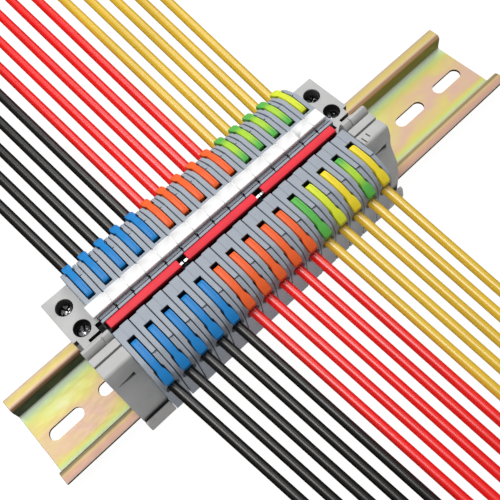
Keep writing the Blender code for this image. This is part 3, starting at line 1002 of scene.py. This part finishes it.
def build_housings(material):
    template = prism("terminal", housing_outline(), -MODULE_HALF, MODULE_HALF, material, 0.13)
    half = [(16.0, 10.0), (22.5, 12.0), (22.5, 27.0), (19.5, 32.0), (9.0, 32.0), (5.0, 27.0)]
    raised = prism("raised_side", half + mirrored(half[::-1]), -RAISED_HALF, RAISED_HALF, None, 0.08)
    cut_now(template, [raised], "UNION")
    tick = box("tick", (-MODULE_HALF - 0.5, 1.0, 35.2), (-MODULE_HALF + 0.35, 2.1, 37.0))
    cuts = [metal_pocket(), tick] + side_hollows()
    for side in (1, -1):
        cuts += [lever_well(side), wire_entry(side)] + top_details(side)
    cut_now(template, cuts)
    template.data.set_sharp_from_angle(angle=math.radians(30.0))
    for index in range(MODULES):
        place = (module_middle(index), 0.0, 0.0)
        piece = copy_of(template, f"terminal_{index + 1:02d}", place)
        fit_piece(piece, "root", "terminal_grey", f"terminal_housing_{index + 1:02d}")
    discard(template)


def ribbon(name, path, thickness, low, high, material):
    """Sheet metal bent along a (y, z) path, between two X positions."""
    left, right = [], []
    for i, point in enumerate(path):
        before = Vector(path[max(0, i - 1)])
        after = Vector(path[min(len(path) - 1, i + 1)])
        along = (after - before).normalized()
        normal = Vector((-along.y, along.x)) * thickness / 2
        left.append((point[0] + normal.x, point[1] + normal.y))
        right.append((point[0] - normal.x, point[1] - normal.y))
    return prism(name, left + right[::-1], low, high, material, 0.04)


def build_metals(copper, steel):
    """In each terminal: one current bar, and a leg spring over each conductor."""
    half = [(6.0, 23.6), (10.0, 24.0), (14.6, 24.0), (15.6, 26.2), (17.6, 26.4), (18.4, 25.6), (18.4, 23.2)]
    path = mirrored(half[::-1]) + [(0.0, 23.6)] + half
    bar = ribbon("bar", path, 0.7, -1.85, 1.6, copper)
    leg = [(9.6, 27.9), (14.4, 27.9), (15.2, 28.6), (16.0, 29.7), (16.8, 30.0), (17.7, 29.9), (18.2, 29.4)]
    leg += [(17.9, 29.15), (16.9, 29.25), (15.9, 29.1)]
    spring = ribbon("spring", leg, 0.22, -1.3, 1.3, steel)
    for index in range(MODULES):
        place = (module_middle(index), 0.0, 0.0)
        fit_piece(copy_of(bar, f"current_bar_{index + 1:02d}", place), "root", "tinned_copper")
        for row, side in (("front", -1), ("back", 1)):
            piece = copy_of(spring, f"leg_spring_{row}_{index + 1:02d}", place, None, side)
            fit_piece(piece, "root", "jaw_steel")
    discard(bar)
    discard(spring)


# ---------------------------------------------------------------- levers

# A lever's side view and width: (distance outward, width, bottom, top).
LEVER = (
    (9.9, 1.7, 34.2, 35.6),
    (10.05, 2.1, 33.9, 36.2),
    (10.5, 2.1, 33.3, 36.5),
    (11.17, 2.1, 32.5, 36.7),
    (11.9, 2.1, 31.77, 36.75),
    (12.9, 2.12, 31.5, 36.75),
    (13.9, 2.14, 31.77, 36.75),
    (14.5, 2.15, 32.3, 36.7),
    (15.6, 2.17, 33.1, 36.6),
    (17.2, 2.2, 33.7, 36.35),
    (18.6, 2.2, 33.45, 35.95),
    (19.7, 2.15, 33.2, 35.6),
    (20.3, 2.05, 32.9, 35.35),
    (20.8, 1.95, 32.7, 35.15),
    (21.2, 2.1, 32.55, 34.95),
    (21.7, 2.6, 32.3, 34.7),
    (22.5, 2.9, 31.9, 34.25),
    (23.6, 2.95, 31.4, 33.6),
    (24.3, 2.9, 31.0, 33.0),
    (24.9, 2.6, 30.9, 32.5),
)


FADING_FRONT_LEVER = 13


def lever_body(material):
    """A lever pointing to +Y: soft-edged sections, with a stepped line along the top."""
    sections = []
    edge = 0.22
    for out, width, bottom, top in LEVER:
        half = width / 2
        sections.append([
            (-half + edge, out, bottom),
            (half - edge, out, bottom),
            (half, out, bottom + edge),
            (half, out, top - edge),
            (half - edge * 0.5, out, top - edge * 0.25),
            (half - edge * 1.3, out, top),
            (-half + edge * 1.3, out, top),
            (-half + edge * 0.5, out, top - edge * 0.25),
            (-half, out, top - edge),
            (-half, out, bottom + edge),
        ])
    lever = rings("lever", sections, material, 40.0)
    groove = loft("top_line", [
        (10.6, 0.22, 0.40, 36.3, 38.0),
        (14.5, 0.26, 0.44, 36.45, 38.0),
        (17.6, 0.36, 0.54, 36.05, 38.0),
        (19.0, 0.44, 0.54, 36.0, 38.0),
    ])
    lower = loft("low_side", [
        (9.5, 0.36, 3.0, 36.2, 38.0),
        (11.0, 0.38, 3.0, 36.58, 38.0),
        (14.5, 0.42, 3.0, 36.55, 38.0),
        (17.2, 0.50, 3.0, 36.21, 38.0),
        (19.0, 0.56, 3.0, 35.95, 38.0),
    ])
    cut_now(lever, [groove, lower])
    lever.data.set_sharp_from_angle(angle=math.radians(35.0))
    return lever


def build_levers(materials):
    plain = ["lever_blue"] * GROUP + ["lever_orange"] * GROUP
    front = plain + ["lever_green", "lever_lime", "lever_yellow", "lever_green", "lever_yellow"]
    back = plain + ["lever_green"] * 4 + ["lever_lime"]
    template = lever_body(materials["lever_blue"])
    for row, side, colours in (("front", -1, front), ("back", 1, back)):
        for index, colour in enumerate(colours):
            name = f"lever_{row}_{index + 1:02d}"
            fading = colour == "lever_green" and (row == "back" or index == FADING_FRONT_LEVER)
            look = "lever_green_lime" if fading else colour
            place = (module_middle(index), 0.0, 0.0)
            piece = copy_of(template, f"{name}_moulding", place, materials[look], side)
            fit_piece(piece, name, colour, name)
    discard(template)


# ---------------------------------------------------------------- bridges and marker strip

BRIDGE_SPANS = ((-60.9, -34.5), (-31.6, -4.3), (-1.4, 28.8))
BRIDGE_TOP = 37.5
COMB_HALF = 0.45


def build_bridges(red, copper):
    half = 1.4
    outline = [
        (BRIDGE_Y - half + 0.25, 32.2),
        (BRIDGE_Y + half - 0.25, 32.2),
        (BRIDGE_Y + half, 32.5),
        (BRIDGE_Y + half, BRIDGE_TOP - 0.35),
        (BRIDGE_Y + half - 0.1, BRIDGE_TOP - 0.1),
        (BRIDGE_Y + half - 0.35, BRIDGE_TOP),
        (BRIDGE_Y - half + 0.35, BRIDGE_TOP),
        (BRIDGE_Y - half + 0.1, BRIDGE_TOP - 0.1),
        (BRIDGE_Y - half, BRIDGE_TOP - 0.35),
        (BRIDGE_Y - half, 32.5),
    ]
    for index, (low, high) in enumerate(BRIDGE_SPANS):
        grip = prism(f"bridge_grip_{index + 1}", outline, low, high, red, 0.2)
        fit_piece(grip, "root", "bridge_red", f"bridge_{index + 1}")
        end = module_middle(index * GROUP + GROUP - 1) + 0.7
        comb_outline = [(low + 0.5, 36.0), (low + 0.5, 30.6)]
        if index > 0:
            comb_outline = [(low - 1.2, 36.0), (low - 1.2, 35.0), (low + 0.5, 35.0), (low + 0.5, 30.6)]
        for i in range(GROUP):
            middle = module_middle(index * GROUP + i)
            comb_outline += [(middle - 0.7, 30.6), (middle - 0.7, 28.0), (middle - 0.35, 27.6)]
            comb_outline += [(middle + 0.35, 27.6), (middle + 0.7, 28.0)]
            if i < GROUP - 1:
                comb_outline.append((middle + 0.7, 30.6))
        comb_outline.append((end, 36.0))
        front, back = BRIDGE_Y - COMB_HALF, BRIDGE_Y + COMB_HALF
        comb = prism(f"bridge_comb_{index + 1}", comb_outline, front, back, copper, 0.08, along="y")
        fit_piece(comb, "root", "tinned_copper")


def build_marker_strip(material):
    outline = [
        (2.4, 36.95),
        (2.55, 36.8),
        (MARKER_Y - 0.5, 36.8),
        (MARKER_Y - 0.5, 34.6),
        (MARKER_Y - 0.3, 34.4),
        (MARKER_Y + 0.3, 34.4),
        (MARKER_Y + 0.5, 34.6),
        (MARKER_Y + 0.5, 36.8),
        (6.85, 36.8),
        (7.0, 36.95),
        (7.0, 38.1),
        (6.8, 38.3),
        (2.6, 38.3),
        (2.4, 38.1),
    ]
    strip = prism("marker_cells", outline, ROW_START - 0.8, ROW_END - 1.1, material, 0.12)
    cuts = []
    for index in range(1, MODULES):
        x = ROW_START + PITCH * index
        cuts.append(box("notch_back", (x - 0.3, 6.65, 36.0), (x + 0.3, 8.0, 39.0)))
        cuts.append(box("notch_front", (x - 0.2, 1.5, 36.0), (x + 0.2, 2.6, 39.0)))
        cuts.append(box("cell_line", (x - 0.11, 1.0, 38.0), (x + 0.11, 8.0, 39.0)))
    cut_now(strip, cuts)
    fit_piece(strip, "root", "marker_white", "marker_strip")


# ---------------------------------------------------------------- end clamps

CLAMP_WIDTH = 9.5
CLAMP_GAP = 0.15
CLAMP_FLAT = 31.6
ROW_TOUCH = 0.2
SCREW_Y = (14.9, 5.9)
SCREW_TIPS = (7.9, 1.4)
SHANK_RADIUS = 1.3
THREAD_ROOT = 1.12
THREAD_PITCH = 0.8
THREAD_TOP = 25.8


def clamp_outline():
    return [
        (20.5, CLAMP_FLAT - 0.15), (20.35, CLAMP_FLAT), (-1.6, CLAMP_FLAT), (-1.95, 34.6),
        (-2.3, 36.9), (-2.6, 37.5), (-3.1, 37.9), (-3.8, 38.0),
        (-4.5, 37.6), (-5.1, 36.9), (-5.35, 36.4), (-5.4, 35.4),
        (-5.8, 35.4), (-5.85, 36.75), (-8.45, 37.0), (-8.55, 36.9),
        (-8.6, 35.7), (-9.0, 35.7), (-9.05, 36.5), (-12.4, 37.0),
        (-12.9, 36.95), (-13.3, 36.75), (-13.6, 36.4), (-14.7, 33.3),
        (-15.2, 28.6), (-15.9, 26.9), (-17.2, 24.4), (-18.4, 22.1),
        (-19.0, 19.6), (-19.5, 16.8), (-19.7, 14.7), (-19.7, 6.6),
        (-20.5, 6.6), (-20.6, 9.3), (-20.9, 9.8), (-21.7, 9.6),
        (-22.0, 9.2), (-22.6, 6.0), (-22.4, 4.4), (-21.4, 2.6),
        (-16.6, 2.6), (-16.4, 2.8), (-16.4, 6.1), (-17.9, 6.1),
        (-17.9, 7.8), (0.6, 7.8), (1.2, 10.4), (20.5, 10.4),
    ]


def clamp_middles():
    reach = CLAMP_GAP + CLAMP_WIDTH / 2
    return (("left", ROW_START - reach), ("right", ROW_END + reach))


def build_clamps(material):
    bore_profile = [(1.65, 6.0), (1.65, 27.1), (2.75, 27.1), (2.75, 31.45), (2.85, 31.7), (2.85, 40.0)]
    for side, middle in clamp_middles():
        low, high = middle - CLAMP_WIDTH / 2, middle + CLAMP_WIDTH / 2
        start, end = (low, high + ROW_TOUCH) if side == "left" else (low - ROW_TOUCH, high)
        clamp = prism(f"clamp_body_{side}", clamp_outline(), start, end, material, 0.15)
        cuts = []
        for y in SCREW_Y:
            bore = turned("bore", bore_profile, 40)
            bore.location = Vector((middle, y, 0.0)) * MM
            cuts.append(bore)
        cuts.append(box("deck_slot", (low + 3.8, 0.6, 22.0), (high - 1.0, 1.7, 33.0)))
        cuts.append(box("low_waist", (low - 1.0, 0.2, 15.0), (low + 1.3, 4.0, 39.0)))
        cuts.append(box("high_waist", (high - 1.6, 0.2, 15.0), (high + 1.0, 4.0, 39.0)))
        wedge = [(low + 1.0, 30.3), (low + 7.4, 29.0), (low + 7.4, 31.3)]
        cuts.append(prism("tool_slot", wedge, -17.5, -10.0, None, along="y"))
        inner_low, inner_high = (high - 2.6, high - 2.35) if side == "left" else (low + 2.6, low + 2.85)
        cuts.append(box("ridge_line", (inner_low, -5.4, 36.0), (inner_high, -1.0, 39.0)))
        if side == "right":
            cuts.append(box("slit_a", (low + 2.75, -12.1, 35.0), (low + 3.25, -10.2, 38.0)))
            cuts.append(box("slit_b", (low + 0.6, -12.9, 35.0), (low + 1.1, -10.5, 38.0)))
        cut_now(clamp, cuts)
        clamp.data.set_sharp_from_angle(angle=math.radians(30.0))
        fit_piece(clamp, "root", "clamp_grey", f"end_clamp_{side}")


def screw_profile(tip):
    """Half the outline of a screw: point, thread, shank and cheese head."""
    profile = [(0.8, tip), (SHANK_RADIUS, tip + 0.6)]
    z = tip + 1.2
    while z < THREAD_TOP:
        profile += [(SHANK_RADIUS, z), (THREAD_ROOT, z + 0.25), (SHANK_RADIUS, z + 0.5)]
        z += THREAD_PITCH
    profile += [(SHANK_RADIUS, 27.4), (2.2, 27.4), (2.2, 28.9), (2.1, 29.15), (1.85, 29.35), (1.4, 29.4)]
    return profile


def build_screws(material):
    for side, middle in clamp_middles():
        for i, (y, tip) in enumerate(zip(SCREW_Y, SCREW_TIPS)):
            screw = turned(f"screw_{side}_{i + 1}", screw_profile(tip), 36, material)
            screw.location = Vector((middle, y, 0.0)) * MM
            turn = Matrix.Rotation(math.radians(24.0 + 31.0 * i), 4, "Z")
            cuts = []
            for name, reach_x, reach_y in (("slot_a", 2.4, 0.34), ("slot_b", 0.34, 1.5)):
                cutter = box(name, (-reach_x, -reach_y, 28.2), (reach_x, reach_y, 30.5))
                cutter.data.transform(turn)
                cutter.location = screw.location
                cuts.append(cutter)
            cut_now(screw, cuts)
            screw.data.set_sharp_from_angle(angle=math.radians(30.0))
            fit_piece(screw, "root", "screw_steel", f"clamp_screw_{side}_{i + 1}")


def build_jaws(material):
    outline = [
        (2.4, 8.2),
        (17.9, 8.2),
        (17.9, 6.1),
        (15.2, 6.1),
        (15.2, 4.8),
        (15.4, 4.6),
        (19.3, 4.6),
        (19.6, 4.9),
        (19.6, 9.4),
        (19.4, 9.8),
        (19.0, 10.0),
        (2.4, 10.0),
    ]
    for side, middle in clamp_middles():
        jaw = prism(f"jaw_{side}", outline, middle - 4.0, middle + 4.0, material, 0.12)
        cuts = []
        for y in SCREW_Y:
            hole = turned("jaw_hole", [(1.6, 7.9), (1.6, 11.0)], 32)
            hole.location = Vector((middle, y, 0.0)) * MM
            cuts.append(hole)
        cut_now(jaw, cuts)
        jaw.data.set_sharp_from_angle(angle=math.radians(30.0))
        fit_piece(jaw, "root", "jaw_steel", f"clamp_jaw_{side}")


def main():
    make_camera()
    make_stage()
    wires = {
        "wire_black": insulation("wire_black", (0.007, 0.006, 0.005), 1.6),
        "wire_red": insulation("wire_red", (0.84, 0.004, 0.002), 1.8),
        "wire_gold": insulation("wire_gold", (0.72, 0.465, 0.024), 1.85),
        "bare_copper": metal("bare_copper", (0.85, 0.42, 0.20), 0.25),
    }
    green = (0.11, 0.46, 0.08)
    levers = {
        "lever_blue": plastic("lever_blue", (0.018, 0.215, 0.56), 0.38),
        "lever_orange": plastic("lever_orange", (0.84, 0.13, 0.032), 0.38),
        "lever_green": plastic("lever_green", green, 0.38),
        "lever_yellow": plastic("lever_yellow", (0.82, 0.66, 0.035), 0.38, mottle=0.12),
        "lever_lime": plastic("lever_lime", (0.66, 0.74, 0.04), 0.38),
        "lever_green_lime": two_tone("lever_green_lime", green, (0.40, 0.66, 0.05)),
    }
    tinned = metal("tinned_copper", (0.80, 0.80, 0.78), 0.22)
    steel = metal("jaw_steel", (0.55, 0.56, 0.58), 0.3)
    build_wires(wires)
    build_rail(plated_zinc())
    build_housings(housing_plastic("terminal_grey", (0.335, 0.37, 0.42)))
    build_metals(tinned, steel)
    build_levers(levers)
    build_bridges(bridge_plastic("bridge_red", (0.76, 0.028, 0.048)), tinned)
    build_marker_strip(plastic("marker_white", (0.86, 0.86, 0.86), 0.4, mottle=0.015))
    build_clamps(clamp_plastic("clamp_grey", (0.47, 0.47, 0.465)))
    build_screws(screw_metal("screw_steel"))
    build_jaws(steel)


main()
